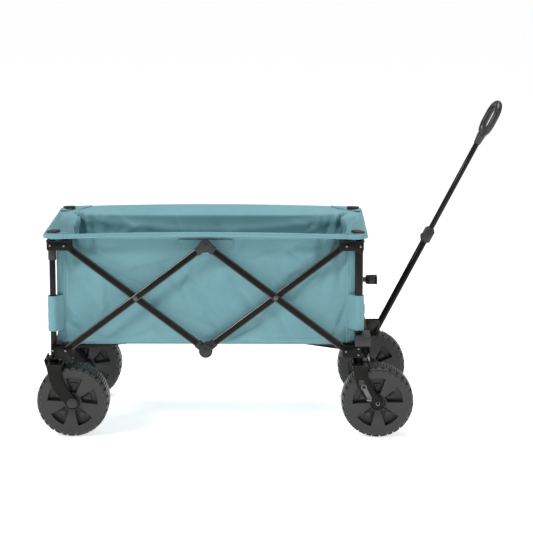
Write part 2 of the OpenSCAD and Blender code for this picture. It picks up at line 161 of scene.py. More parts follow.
def pebble_group():
    group, start, end = new_group(
        "pebble",
        [("Color", "NodeSocketColor", (0.05, 0.05, 0.05, 1)),
         ("Edge Color", "NodeSocketColor", (0.2, 0.2, 0.2, 1)),
         ("Grain Scale", "NodeSocketFloat", 900.0), ("Roughness", "NodeSocketFloat", 0.4)],
        [("Color", "NodeSocketColor"), ("Roughness", "NodeSocketFloat"), ("Height", "NodeSocketFloat")])
    links = group.links
    place = add(group, "ShaderNodeTexCoord")
    grain = add(group, "ShaderNodeTexNoise", {"Detail": 3})
    links.new(place.outputs["Object"], grain.inputs["Vector"])
    links.new(start.outputs["Grain Scale"], grain.inputs["Scale"])
    cloud = add(group, "ShaderNodeTexNoise", {"Scale": 14, "Detail": 5})
    links.new(place.outputs["Object"], cloud.inputs["Vector"])
    edge = add(group, "ShaderNodeNewGeometry")
    ramp = add(group, "ShaderNodeValToRGB")
    ramp.color_ramp.elements[0].position = 0.52
    ramp.color_ramp.elements[1].position = 0.66
    links.new(edge.outputs["Pointiness"], ramp.inputs[0])
    # convex edges, under a cloud noise, take the paler edge colour: partly wear, partly a painted highlight
    edge_wear_and_highlight = add(group, "ShaderNodeMath", operation="MULTIPLY")
    links.new(ramp.outputs[0], edge_wear_and_highlight.inputs[0])
    links.new(cloud.outputs["Fac"], edge_wear_and_highlight.inputs[1])
    links.new(mix_colours(group, edge_wear_and_highlight.outputs[0], start.outputs["Color"], start.outputs["Edge Color"]),
              end.inputs["Color"])
    rough = add(group, "ShaderNodeMath", {1: 0.18}, operation="MULTIPLY_ADD")
    links.new(cloud.outputs["Fac"], rough.inputs[0])
    links.new(start.outputs["Roughness"], rough.inputs[2])
    links.new(rough.outputs[0], end.inputs["Roughness"])
    links.new(grain.outputs["Fac"], end.inputs["Height"])
    return group


PEBBLE = pebble_group()


def coated(name, colour, edge, roughness, grain, bump, metallic=0.0, shine=0.5):
    paint = bpy.data.materials.new(name)
    paint.use_nodes = True
    tree = paint.node_tree
    shader = tree.nodes["Principled BSDF"]
    surface = add(tree, "ShaderNodeGroup", node_tree=PEBBLE)
    for socket, value in {"Color": (*colour, 1), "Edge Color": (*edge, 1), "Grain Scale": grain,
                          "Roughness": roughness}.items():
        surface.inputs[socket].default_value = value
    dents = add(tree, "ShaderNodeBump", {"Strength": bump, "Distance": 0.0004})
    tree.links.new(surface.outputs["Height"], dents.inputs["Height"])
    tree.links.new(surface.outputs["Color"], shader.inputs["Base Color"])
    tree.links.new(surface.outputs["Roughness"], shader.inputs["Roughness"])
    tree.links.new(dents.outputs["Normal"], shader.inputs["Normal"])
    shader.inputs["Metallic"].default_value = metallic
    shader.inputs["Specular IOR Level"].default_value = shine
    return paint


powder_coat = coated("powder_coat", (0.006, 0.0057, 0.0052), (0.09, 0.087, 0.082), 0.06, 1400, 0.04,
                     shine=0.12)
# a paler coat for the bars' rounded edges, a painted highlight
edge_highlight_coat = coated("edge_highlight_coat", (0.045, 0.043, 0.040), (0.15, 0.145, 0.14), 0.12, 1400, 0.04, shine=0.6)
bare_steel = coated("bare_steel", (0.24, 0.24, 0.24), (0.5, 0.5, 0.5), 0.24, 700, 0.1, metallic=1.0)
rivet_steel = coated("rivet_steel", (0.11, 0.11, 0.11), (0.3, 0.3, 0.3), 0.3, 700, 0.1, metallic=1.0)
dark_plastic = coated("dark_plastic", (0.018, 0.018, 0.0185), (0.08, 0.08, 0.08), 0.30, 1100, 0.2, shine=0.4)
tyre_plastic = coated("tyre_plastic", (0.022, 0.0215, 0.021), (0.10, 0.098, 0.095), 0.30, 800, 0.25,
                      shine=0.45)
lever_plastic = coated("lever_plastic", (0.13, 0.132, 0.136), (0.3, 0.3, 0.3), 0.4, 1100, 0.2)

# ---- Stamped and moulded parts of the frame --------------------------------
# Brackets, posts, rods, beams, pins and small mouldings keep the shape they were drawn with.
# Each is copied, its seams are merged, and its sharp edges are rounded as in pressed steel.


def only(piece):
    bpy.ops.object.select_all(action="DESELECT")
    piece.hide_set(False)
    piece.select_set(True)
    bpy.context.view_layer.objects.active = piece


def place_mesh(piece):
    only(piece)
    bpy.ops.object.transform_apply(location=True, rotation=True, scale=True)


def edit(kind):
    bpy.ops.object.mode_set(mode="EDIT")
    bpy.ops.mesh.select_mode(type=kind)


def done():
    bpy.ops.object.mode_set(mode="OBJECT")


def soften(piece, width, segments=2, angle=35):
    only(piece)
    rounding = piece.modifiers.new("rounding", "BEVEL")
    rounding.width = width
    rounding.segments = segments
    rounding.limit_method = "ANGLE"
    rounding.angle_limit = math.radians(angle)
    bpy.ops.object.modifier_apply(modifier="rounding")
    bpy.ops.object.shade_smooth_by_angle(angle=math.radians(angle))


def finish_piece(piece, name, body, material, slot, *nodes):
    piece.name = name
    piece.data.name = name
    if material:
        piece.data.materials.clear()
        piece.data.materials.append(material)
    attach(piece, body)
    if nodes:
        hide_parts(*nodes)


def pressed(node, name, body, material, slot, width=0.0008, segments=2):
    piece = frame["nodes"][node].copy()
    piece.data = piece.data.copy()
    piece.parent = None
    bpy.context.collection.objects.link(piece)
    only(piece)
    edit("VERT")
    bpy.ops.mesh.select_all(action="SELECT")
    bpy.ops.mesh.remove_doubles(threshold=0.00002)
    bpy.ops.mesh.dissolve_limited(angle_limit=math.radians(2))
    done()
    soften(piece, width, segments)
    finish_piece(piece, name, body, material, slot, node)
    return piece


STEEL_PARTS = {
    "rear_frame": ["rear_beam", "rear_bracket_near", "rear_bracket_far", "rear_rod_near", "rear_rod_far"],
    "rear_top": ["rear_top_brackets", "rear_posts"],
    "front_top": ["front_top_brackets", "front_posts", "clip_bar"],
    "front_frame": ["front_beam", "front_bracket_near", "front_bracket_far", "front_rods", "handle_bracket"],
    "rear_brace": ["rear_brace"], "front_brace": ["front_brace"],
    "handle": ["handle_lower"], "handle_top": ["handle_upper"],
}
for body, nodes in STEEL_PARTS.items():
    for node in nodes:
        pressed(node, node + "_coated", body, powder_coat, "powder_coat")

PLASTIC_PARTS = [
    ("top_hubs", "scissor_b", 0.0015), ("bottom_hubs", "scissor_a", 0.0015),
    ("rear_caps", "rear_top", 0.0015), ("front_caps", "front_top", 0.0015),
    ("beam_housings", "front_frame", 0.003),
]
for node, body, width in PLASTIC_PARTS:
    pressed(node, node + "_moulded", body, dark_plastic, "plastic", width, 3)

for node, body in [("rear_rivets", "scissor_b"), ("front_rivets", "scissor_c")]:
    pressed(node, node + "_turned", body, rivet_steel, "bare_steel", 0.001, 3)
for side in ("near", "far"):
    node = "brake_lever_" + side
    pressed(node, node + "_moulded", "brake_" + side, lever_plastic, "lever", 0.001, 3)

# ---- Bracket rivets and post collars ---------------------------------------
# Domed steel rivets hold each corner bracket together, two to a side. A moulded collar
# under each rear bracket guides the post.


def join(pieces):
    bpy.ops.object.select_all(action="DESELECT")
    for piece in pieces:
        piece.select_set(True)
    bpy.context.view_layer.objects.active = pieces[0]
    bpy.ops.object.join()
    return pieces[0]


def dome(place, radius, height):
    bpy.ops.mesh.primitive_uv_sphere_add(segments=24, ring_count=12, radius=radius, location=place)
    piece = bpy.context.object
    piece.scale.y = height / radius
    place_mesh(piece)
    bpy.ops.object.shade_smooth()
    return piece


# the brackets' outer faces, as a distance from the middle of the wagon
BRACKET_Y = 0.2562
for name, body, spots in [
    ("rear_top_bracket_rivets", "rear_top", [(-0.425, 0.537), (-0.387, 0.536)]),
    ("front_top_bracket_rivets", "front_top", [(0.425, 0.535), (0.387, 0.536)]),
    ("rear_low_bracket_rivets", "rear_frame", [(-0.422, 0.243), (-0.387, 0.242)]),
    ("front_low_bracket_rivets", "front_frame", [(0.421, 0.250), (0.387, 0.242), (0.421, 0.232)]),
]:
    heads = []
    for side in (-1, 1):
        for x, z in spots:
            heads.append(dome((MID_X + x, side * BRACKET_Y, z), 0.0030, 0.0020))
    finish_piece(join(heads), name, body, bare_steel, "bare_steel")

collars = []
for side in (-1, 1):
    bpy.ops.mesh.primitive_cylinder_add(vertices=40, radius=0.0113, depth=0.030,
                                        location=(MID_X - POST_X, side * POST_Y, 0.5075))
    collar = bpy.context.object
    place_mesh(collar)
    soften(collar, 0.0012, 3)
    collars.append(collar)
finish_piece(join(collars), "rear_post_collars", "rear_top", dark_plastic, "plastic")

# ---- Side bars -------------------------------------------------------------
# Flat-oval steel tube, 20 mm deep, with pressed round ends. Each piece is a matching
# pair, one bar on each side of the wagon, and the pair folds as one.
BAR_DEPTH = 0.020
BAR_THICK = 0.009


def pick(piece, kind, test):
    mesh = bmesh.from_edit_mesh(piece.data)
    bpy.ops.mesh.select_all(action="DESELECT")
    chosen = {"FACE": mesh.faces, "EDGE": mesh.edges, "VERT": mesh.verts}[kind]
    for item in chosen:
        if test(item):
            item.select_set(True)
    mesh.select_flush_mode()
    bmesh.update_edit_mesh(piece.data)


def mirror_far(piece):
    only(piece)
    other = piece.modifiers.new("other side", "MIRROR")
    other.use_axis = (False, True, False)
    other.use_mirror_merge = False
    bpy.ops.object.modifier_apply(modifier="other side")


def side_bar(name, body, node, start, end, distance):
    run = Vector(end) - Vector(start)
    bpy.ops.mesh.primitive_cube_add(size=1)
    piece = bpy.context.object
    piece.scale = (run.length + BAR_DEPTH, BAR_THICK, BAR_DEPTH)
    place_mesh(piece)
    edit("EDGE")
    pick(piece, "EDGE", lambda e: abs(e.verts[0].co.y - e.verts[1].co.y) > BAR_THICK / 2)
    bpy.ops.mesh.bevel(offset=BAR_DEPTH / 2 - 0.0002, segments=8, affect="EDGES")
    pick(piece, "EDGE", lambda e: abs(e.verts[0].co.y - e.verts[1].co.y) < 1e-6)
    bpy.ops.mesh.bevel(offset=0.0042, segments=6, affect="EDGES")
    done()
    piece.rotation_euler = (0, -math.atan2(run.z, run.x), 0)
    piece.location = (Vector(start) + Vector(end)) / 2 - Vector((0, distance, 0))
    place_mesh(piece)
    mirror_far(piece)
    bpy.ops.object.shade_smooth_by_angle(angle=math.radians(40))
    finish_piece(piece, name, body, powder_coat, "powder_coat", node)
    # painted highlight: the rounded edges get a paler, shinier coat that stands in for the light they catch
    piece.data.materials.append(edge_highlight_coat)
    for face in piece.data.polygons:
        face.material_index = 1 if 0.35 < abs(face.normal.y) < 0.93 else 0


joint_at = {j["name"]: Vector(j["pos_m"]) for j in frame["joints"] if "pos_m" in j}
low_rear = joint_at["frame_fold"]
high_rear = joint_at["rear_top_pivot"]
high_mid = joint_at["top_hub_pivot"]
low_mid = Vector((high_mid.x, 0, low_rear.z))
low_front = joint_at["front_low_pivot"]
high_front = joint_at["front_top_pivot"]
# distance of each layer of bars from the middle of the wagon, counted outward
LAYERS = [0.2235, 0.234, 0.2445]
side_bar("bar_rear_up", "scissor_b", "bars_b", low_rear, high_mid, LAYERS[2])
side_bar("bar_rear_down", "scissor_a", "bars_a", high_rear, low_mid, LAYERS[1])
side_bar("bar_front_down", "scissor_c", "bars_c", high_mid, low_front, LAYERS[1])
side_bar("bar_front_up", "scissor_d", "bars_d", low_mid, high_front, LAYERS[0])

# ---- Hub sleeves and screws ------------------------------------------------
# The bars that meet at the middle hubs end in moulded sleeves beside the disc, and one
# screw on each side holds the upper hub together.


def hub_sleeve(name, body, hub, toward, distance, proud):
    run = (toward - hub).normalized()
    bpy.ops.mesh.primitive_cube_add(size=1)
    sleeve_end = bpy.context.object
    sleeve_end.scale = (0.028, BAR_THICK + 2 * proud, 0.0236)
    place_mesh(sleeve_end)
    soften(sleeve_end, 0.0012, 3)
    sleeve_end.rotation_euler = (0, -math.atan2(run.z, run.x), 0)
    sleeve_end.location = hub + run * 0.016 - Vector((0, distance, 0))
    place_mesh(sleeve_end)
    mirror_far(sleeve_end)
    finish_piece(sleeve_end, name, body, dark_plastic, "plastic")


hub_sleeve("hub_sleeve_rear", "scissor_b", high_mid, low_rear, LAYERS[2], 0.0009)
hub_sleeve("hub_sleeve_front", "scissor_c", high_mid, low_front, LAYERS[1], 0.0006)
hub_sleeve("low_sleeve_rear", "scissor_a", low_mid, high_rear, LAYERS[1], 0.0006)
hub_sleeve("low_sleeve_front", "scissor_d", low_mid, high_front, LAYERS[0], 0.0006)
screws = [dome((high_mid.x, side * 0.2552, high_mid.z), 0.0034, 0.0022) for side in (-1, 1)]
finish_piece(join(screws), "top_hub_screws", "scissor_b", bare_steel, "bare_steel")

# ---- Forks -----------------------------------------------------------------
# Two pressed arms hang from a saddle, straight down and then swept forward to the axle.
# Each arm is a channel with rolled edges; the front pair swivels and carries a brake.
FRONT_AXLE = middle("front_axle_near")
AXLE_Z = FRONT_AXLE.z
TRAIL = FRONT_AXLE.x - MID_X - POST_X
SADDLE_Z = 0.2045
ARM_FACE = 0.0475
# an arm's middle line, from the saddle to the axle, as distance behind the axle, height
# and half width
ARM_LINE = [
    (0.0485, 0.2045, 0.0225), (0.0480, 0.195, 0.0205), (0.0465, 0.180, 0.0192), (0.0435, 0.165, 0.0185),
    (0.0380, 0.150, 0.0180), (0.0300, 0.136, 0.0173), (0.0210, 0.123, 0.0167), (0.0110, 0.111, 0.0160),
]
ARM_END = 0.0157


def block(low, high, rounding=0.0):
    bpy.ops.mesh.primitive_cube_add(size=1)
    piece = bpy.context.object
    piece.scale = [b - a for a, b in zip(low, high)]
    piece.location = [(a + b) / 2 for a, b in zip(low, high)]
    place_mesh(piece)
    if rounding:
        soften(piece, rounding, 3)
    return piece


def button(place, radius, height, axis="Y", rounding=0.0008):
    bpy.ops.mesh.primitive_cylinder_add(vertices=32, radius=radius, depth=height, location=place,
                                        rotation=(math.radians(90), 0, 0) if axis == "Y" else (0, 0, 0))
    piece = bpy.context.object
    place_mesh(piece)
    soften(piece, rounding, 2)
    return piece


def fork_arm(axle_x, face_y, inward):
    points = [Vector((axle_x - back, face_y, height)) for back, height, half in ARM_LINE]
    left, right = [], []
    for index, (point, (_, _, half)) in enumerate(zip(points, ARM_LINE)):
        ahead = points[min(index + 1, len(points) - 1)] - points[max(index - 1, 0)]
        across = Vector((-ahead.z, 0, ahead.x)).normalized() * half
        left.append(point - across)
        right.append(point + across)
    end = Vector((axle_x, face_y, AXLE_Z))
    swing = math.atan2(points[-1].z - end.z, points[-1].x - end.x)
    turn = [end + Vector((math.cos(swing + a), 0, math.sin(swing + a))) * ARM_END
            for a in np.radians(np.linspace(75, 285, 15))]
    outline = left + turn + right[::-1]
    bpy.ops.mesh.primitive_circle_add(vertices=len(outline), radius=1, fill_type="NGON")
    piece = bpy.context.object
    for vertex, point in zip(piece.data.vertices, outline):
        vertex.co = point
    only(piece)
    edit("FACE")
    bpy.ops.mesh.select_all(action="SELECT")
    bpy.ops.mesh.extrude_region_move(TRANSFORM_OT_translate={"value": (0, inward * 0.010, 0)})
    # the side toward the wheel is open: a rim of metal round a deep recess
    bpy.ops.mesh.inset(thickness=0.0028, depth=0)
    bpy.ops.mesh.extrude_region_move(TRANSFORM_OT_translate={"value": (0, -inward * 0.007, 0)})
    bpy.ops.mesh.select_all(action="SELECT")
    bpy.ops.mesh.normals_make_consistent(inside=False)
    done()
    soften(piece, 0.0016, 3)
    return piece


def fork(name, body, node, x, side, brake):
    axle_x = MID_X + x + TRAIL
    centre = side * POST_Y
    parts = [fork_arm(axle_x, centre + ARM_FACE * 1.03, -1), fork_arm(axle_x, centre - ARM_FACE * 1.03, 1)]
    saddle_x = MID_X + x + 0.0045
    parts.append(block((saddle_x - 0.0225, centre - 0.0492, SADDLE_Z - 0.001),
                       (saddle_x + 0.0225, centre + 0.0492, SADDLE_Z + 0.002), 0.0008))
    # upturned lips at both ends of the saddle
    for end in (-1, 1):
        lip = block((-0.0012, centre - 0.0492, 0), (0.0012, centre + 0.0492, 0.0165), 0.0006)
        lip.rotation_euler = (0, end * math.radians(14), 0)
        lip.location = (saddle_x + end * 0.0222, 0, SADDLE_Z)
        place_mesh(lip)
        parts.append(lip)
    parts.append(button((MID_X + x, centre, 0.2125), 0.013, 0.013, "Z"))
    parts.append(button((MID_X + x, centre - 0.034, SADDLE_Z + 0.004), 0.0045, 0.004, "Z"))
    outer = centre + side * (ARM_FACE * 1.03)
    if brake:
        # the slot that the foot lever works in, and the pin's plate
        parts.append(block((axle_x - 0.052, min(outer, outer + side * 0.0004), 0.150),
                           (axle_x - 0.038, max(outer, outer + side * 0.0008), 0.166)))
        parts.append(button((axle_x - 0.039, outer + side * 0.001, 0.146), 0.0042, 0.010))
    fork_piece = join(parts)
    bpy.ops.object.shade_smooth_by_angle(angle=math.radians(35))
    finish_piece(fork_piece, name, body, powder_coat, "powder_coat", node)


fork("rear_fork_near_pressed", "rear_frame", "rear_fork_near", -POST_X, -1, False)
fork("rear_fork_far_pressed", "rear_frame", "rear_fork_far", -POST_X, 1, False)
fork("caster_fork_near_pressed", "caster_near", "caster_fork_near", POST_X, -1, True)
fork("caster_fork_far_pressed", "caster_far", "caster_fork_far", POST_X, 1, True)

# ---- Axles -----------------------------------------------------------------
# A steel pin through each wheel. The rear ends are hidden under domed dark caps, and the
# front ends carry a small bright nut on the round end of each arm.
for name, body, x, side, capped in [
    ("rear_axle_near", "rear_frame", -POST_X, -1, True), ("rear_axle_far", "rear_frame", -POST_X, 1, True),
    ("front_axle_near", "caster_near", POST_X, -1, False), ("front_axle_far", "caster_far", POST_X, 1, False),
]:
    axle_x = MID_X + x + TRAIL
    centre = side * POST_Y
    pin = button((axle_x, centre, AXLE_Z), 0.005, 2 * ARM_FACE + 0.012)
    if capped:
        ends = [button((axle_x, centre + k * (ARM_FACE + 0.0045), AXLE_Z), 0.0150, 0.007, rounding=0.0026)
                for k in (-1, 1)]
        cap = join(ends)
        finish_piece(cap, name + "_caps", body, dark_plastic, "plastic", name)
        finish_piece(pin, name + "_pin", body, bare_steel, "bare_steel", name)
    else:
        for k in (-1, 1):
            bpy.ops.mesh.primitive_cylinder_add(vertices=6, radius=0.0062, depth=0.005,
                                                rotation=(math.radians(90), 0, 0),
                                                location=(axle_x, centre + k * (ARM_FACE + 0.0035), AXLE_Z))
            nut = bpy.context.object
            place_mesh(nut)
            soften(nut, 0.0006, 2)
            pin = join([pin, nut])
        finish_piece(pin, name + "_pin", body, bare_steel, "bare_steel", name)

# ---- Wheels ----------------------------------------------------------------
# One moulding each: a broad tyre with fine ribs on the crown and thirty lugs on each
# shoulder, and a flat web with five windows, each with a step and a round dimple inside.
WHEEL_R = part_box("front_wheel_near")[1][2] / 2
STEPS = 240
# radius and distance from the wheel's middle, from the hub out to the tread
PROFILE = [
    (0.0090, 0.0360), (0.0120, 0.0360), (0.0150, 0.0330), (0.0190, 0.0330), (0.0210, 0.0375),
    (0.0240, 0.0385), (0.0480, 0.0392), (0.0700, 0.0396), (0.0860, 0.0402), (0.0905, 0.0402),
    (0.0925, 0.0392), (0.0945, 0.0350), (0.0952, 0.0270), (0.0955, 0.0120), (0.0957, 0.0),
]
# a window's inner and outer radius, and half its angle in degrees
WINDOW_IN, WINDOW_OUT, WINDOW_HALF = 0.0240, 0.0700, 19.5


def polar(face):
    centre = face.calc_center_median()
    return math.hypot(centre.x, centre.y), math.degrees(math.atan2(centre.y, centre.x)) % 360, abs(centre.z)


def on_ring(low, high, of_steps, raised):
    """Faces between two radii, the first few of every so many steps round the wheel."""
    return lambda f: low < polar(f)[0] < high and (polar(f)[1] // (360 / STEPS)) % of_steps < raised


def raise_faces(height):
    bpy.ops.mesh.extrude_region_shrink_fatten(TRANSFORM_OT_shrink_fatten={"value": height})


def wheel(name, end, side, turn):
    """The wheel at one end and side. Its windows are turned, in degrees."""
    bpy.ops.mesh.primitive_circle_add(vertices=STEPS, radius=PROFILE[0][0], fill_type="NGON",
                                      location=(0, 0, PROFILE[0][1]))
    piece = bpy.context.object
    place_mesh(piece)
    edit("EDGE")
    pick(piece, "EDGE", lambda e: True)
    for (r0, z0), (r1, z1) in zip(PROFILE, PROFILE[1:]):
        bpy.ops.mesh.extrude_edges_move(TRANSFORM_OT_translate={"value": (0, 0, z1 - z0)})
        bpy.ops.transform.resize(value=(r1 / r0, r1 / r0, 1))
    done()
    other = piece.modifiers.new("other half", "MIRROR")
    other.use_axis = (False, False, True)
    other.merge_threshold = 0.0002
    only(piece)
    bpy.ops.object.modifier_apply(modifier="other half")

    def in_window(face):
        radius, angle, height = polar(face)
        off_middle = abs((angle - turn + 36) % 72 - 36)
        return WINDOW_IN < radius < WINDOW_OUT and off_middle < WINDOW_HALF and height > 0.03

    edit("FACE")
    bpy.ops.mesh.select_all(action="SELECT")
    bpy.ops.mesh.normals_make_consistent(inside=False)
    # windows: a narrow chamfer, then the deep wall, on both faces of the wheel
    pick(piece, "FACE", in_window)
    bpy.ops.mesh.inset(thickness=0.0003, depth=0, use_even_offset=False)
    bpy.ops.mesh.inset(thickness=0.0008, depth=-0.0010, use_even_offset=False)
    raise_faces(-0.020)
    # ribs round the crown, lugs on the shoulders and ticks on the face
    pick(piece, "FACE", on_ring(0.0950, WHEEL_R, 3, 2))
    raise_faces(WHEEL_R - PROFILE[-1][0])
    pick(piece, "FACE", on_ring(0.0932, 0.0950, 8, 5))
    raise_faces(0.0035)
    pick(piece, "FACE", on_ring(0.0870, 0.0900, 8, 3))
    bpy.ops.mesh.inset(thickness=0.0004, depth=0, use_even_offset=False)
    raise_faces(0.0008)
    done()
    parts = [piece]
    # inside each window, a raised plate that widens outward, with the dimple on it
    for k in range(5):
        angle = math.radians(turn + 72 * k)
        for low, high in ((-0.0232, -0.0150), (0.0150, 0.0232)):
            plate = block((0.0260, -0.0042, low), (0.0500, 0.0042, high))
            for vertex in plate.data.vertices:
                if vertex.co.x > 0.04:
                    vertex.co.y *= 2.3
            soften(plate, 0.0008, 2)
            plate.rotation_euler = (0, 0, angle)
            place_mesh(plate)
            dimple = (0.040 * math.cos(angle), 0.040 * math.sin(angle), math.copysign(0.0245, high + low))
            parts += [plate, button(dimple, 0.0046, 0.004, "Z")]
    piece = join(parts)
    piece.rotation_euler = (math.radians(90), 0, 0)
    piece.location = (MID_X + end * POST_X + TRAIL, side * POST_Y, AXLE_Z)
    place_mesh(piece)
    bpy.ops.object.shade_smooth_by_angle(angle=math.radians(32))
    finish_piece(piece, name + "_moulded", name, tyre_plastic, "wheel", name)


wheel("rear_wheel_near", -1, -1, 14)
wheel("rear_wheel_far", -1, 1, 30)
wheel("front_wheel_near", 1, -1, 20)
wheel("front_wheel_far", 1, 1, 44)

# ---- Pull grip -------------------------------------------------------------
# An oval ring of moulded plastic on a tapered neck, made in line with the handle's tube
# and then turned up to the handle's angle.
handle_pivot = joint_at["handle_tilt"]
slide_axis = Vector(next(j["axis"] for j in frame["joints"] if j["name"] == "handle_slide"))
HANDLE_ANGLE = math.atan2(slide_axis.z, slide_axis.x)
NECK_AT = 0.612


def turn_up(piece, distance):
    place_mesh(piece)
    piece.data.transform(Matrix.Translation(handle_pivot) @ Matrix.Rotation(-HANDLE_ANGLE, 4, "Y")
                         @ Matrix.Translation((distance, 0, 0)))


bpy.ops.mesh.primitive_torus_add(major_segments=64, minor_segments=16,
                                 major_radius=0.036, minor_radius=0.0095)
grip = bpy.context.object
edit("VERT")
# drawn out into an oval
pick(grip, "VERT", lambda v: v.co.x > 0.0001)
bpy.ops.transform.translate(value=(0.0105, 0, 0))
pick(grip, "VERT", lambda v: v.co.x < 0.0001)
bpy.ops.transform.translate(value=(-0.0105, 0, 0))
done()
grip.location = (0.078, 0, 0)
bpy.ops.mesh.primitive_cone_add(vertices=32, radius1=0.0095, radius2=0.0125, depth=0.030,
                                location=(0.013, 0, 0), rotation=(0, math.radians(90), 0))
neck = bpy.context.object
join([grip, neck])
# the round inner tube has a little play, and the ring stands slightly turned on it
grip.rotation_euler = (math.radians(9), 0, 0)
turn_up(grip, NECK_AT)
bpy.ops.object.shade_smooth_by_angle(angle=math.radians(50))
finish_piece(grip, "pull_grip", "handle_top", dark_plastic, "plastic", "grip")

# ---- Handle collar, lock button and clip -----------------------------------
# A rounded collar joins the two tubes and has an oval boss on each side. The button that
# lets the inner tube slide is on its upper face. The clip is an open ring on a short neck.
COLLAR_AT = 0.294


def thicken(piece, thickness):
    sheet = piece.modifiers.new("sheet", "SOLIDIFY")
    sheet.thickness = thickness
    sheet.offset = 0
    only(piece)
    bpy.ops.object.modifier_apply(modifier="sheet")


COLLAR_HALF = 0.0142
collar_body = block((0.003, -COLLAR_HALF, -COLLAR_HALF), (0.040, COLLAR_HALF, COLLAR_HALF), 0.0030)
mouth = button((0, 0, 0), 0.0116, 0.044, axis="Z", rounding=0.001)
mouth.rotation_euler = (0, math.radians(90), 0)
mouth.location = (0.022, 0, 0)
place_mesh(mouth)
collar_parts = [collar_body, mouth]
for side in (-1, 1):
    bpy.ops.mesh.primitive_uv_sphere_add(segments=32, ring_count=16, radius=1,
                                         location=(0.021, side * COLLAR_HALF, 0))
    boss = bpy.context.object
    boss.scale = (0.0085, 0.0016, 0.0058)
    place_mesh(boss)
    bpy.ops.object.shade_smooth()
    collar_parts.append(boss)
collar_body = join(collar_parts)
turn_up(collar_body, COLLAR_AT)
finish_piece(collar_body, "handle_collar_moulded", "handle", dark_plastic, "plastic", "handle_collar")
push = button((0.014, 0, 0.0150), 0.0048, 0.0050, axis="Z", rounding=0.0012)
turn_up(push, COLLAR_AT)
finish_piece(push, "lock_button_moulded", "lock_button", dark_plastic, "plastic", "lock_button")

# the ring's middle and height, its radius, and how long the straight arms are
CLIP_X, CLIP_Z = POST_X + 0.040, 0.397
RING, ARM = 0.0120, 0.019
bpy.ops.mesh.primitive_grid_add(x_subdivisions=40, y_subdivisions=1, size=1)
clip = bpy.context.object
for vertex in clip.data.vertices:
    # the strip runs in along one arm, round the back and out along the other
    along = (vertex.co.x + 0.5) * (2 * ARM + math.pi * RING)
    if along < ARM:
        spot = (ARM - along, -RING)
    elif along < ARM + math.pi * RING:
        turn = (along - ARM) / RING
        spot = (-RING * math.sin(turn), -RING * math.cos(turn))
    else:
        spot = (along - ARM - math.pi * RING, RING)
    # the arms' tips splay apart
    lip = math.copysign(0.8 * max(0.0, spot[0] - 0.0135), spot[1])
    vertex.co = (MID_X + CLIP_X + spot[0], spot[1] + lip, CLIP_Z + 0.023 * vertex.co.y)
thicken(clip, 0.0036)
soften(clip, 0.0008, 2)
clip_neck = block((MID_X + 0.429, -0.0065, CLIP_Z - 0.006),
                  (MID_X + CLIP_X - RING, 0.0065, CLIP_Z + 0.006), 0.0012)
clip = join([clip, clip_neck])
finish_piece(clip, "handle_clip_moulded", "front_top", dark_plastic, "plastic", "handle_clip")

# ---- Woven polyester -------------------------------------------------------
# Teal pack cloth with a plain weave. Its colour has painted shade in soft random patches, meant as the shade
# in folds, and a painted highlight on threads that stand proud. The weave runs on object coordinates, so it
# is the same on every panel.


def weave_group():
    group, start, end = new_group(
        "weave",
        [("Color", "NodeSocketColor", (0.1, 0.3, 0.3, 1)), ("Dark", "NodeSocketColor", (0.05, 0.2, 0.2, 1)),
         ("Threads", "NodeSocketFloat", 1400.0)],
        [("Color", "NodeSocketColor"), ("Roughness", "NodeSocketFloat"), ("Height", "NodeSocketFloat"),
         ("Crumple", "NodeSocketFloat")])
    links = group.links
    place = add(group, "ShaderNodeTexCoord")
    crumple = add(group, "ShaderNodeTexNoise", {"Scale": 4.2, "Detail": 2.5, "Distortion": 1.3},
                  noise_type="RIDGED_MULTIFRACTAL")
    links.new(place.outputs["Object"], crumple.inputs["Vector"])
    links.new(crumple.outputs["Fac"], end.inputs["Crumple"])
    waves = []
    for direction in ("X", "Y", "Z"):
        wave = add(group, "ShaderNodeTexWave", {"Distortion": 0.6}, bands_direction=direction)
        links.new(place.outputs["Object"], wave.inputs["Vector"])
        scaled = add(group, "ShaderNodeMath", {1: 0.3142}, operation="MULTIPLY")
        links.new(start.outputs["Threads"], scaled.inputs[0])
        links.new(scaled.outputs[0], wave.inputs["Scale"])
        waves.append(wave.outputs["Fac"])
    total = waves[0]
    for wave in waves[1:]:
        plus = add(group, "ShaderNodeMath", operation="ADD")
        links.new(total, plus.inputs[0])
        links.new(wave, plus.inputs[1])
        total = plus.outputs[0]
    # painted shade: a broad noise mixes the cloth toward its Dark colour in soft patches, meant as the shade
    # in folds
    cloth = add(group, "ShaderNodeTexNoise", {"Scale": 9, "Detail": 8, "Roughness": 0.65})
    links.new(place.outputs["Object"], cloth.inputs["Vector"])
    share = add(group, "ShaderNodeMapRange", {"From Min": 0.3, "From Max": 0.7, "To Max": 0.45})
    links.new(cloth.outputs["Fac"], share.inputs["Value"])
    # threads that stand proud are mixed paler, a painted highlight
    thread = add(group, "ShaderNodeMath", {1: -0.09}, operation="MULTIPLY_ADD")
    links.new(total, thread.inputs[0])
    links.new(share.outputs[0], thread.inputs[2])
    clamp = add(group, "ShaderNodeClamp")
    links.new(thread.outputs[0], clamp.inputs[0])
    links.new(mix_colours(group, clamp.outputs[0], start.outputs["Color"], start.outputs["Dark"]),
              end.inputs["Color"])
    rough = add(group, "ShaderNodeMath", {1: 0.2, 2: 0.62}, operation="MULTIPLY_ADD")
    links.new(cloth.outputs["Fac"], rough.inputs[0])
    links.new(rough.outputs[0], end.inputs["Roughness"])
    links.new(total, end.inputs["Height"])
    return group


WEAVE = weave_group()


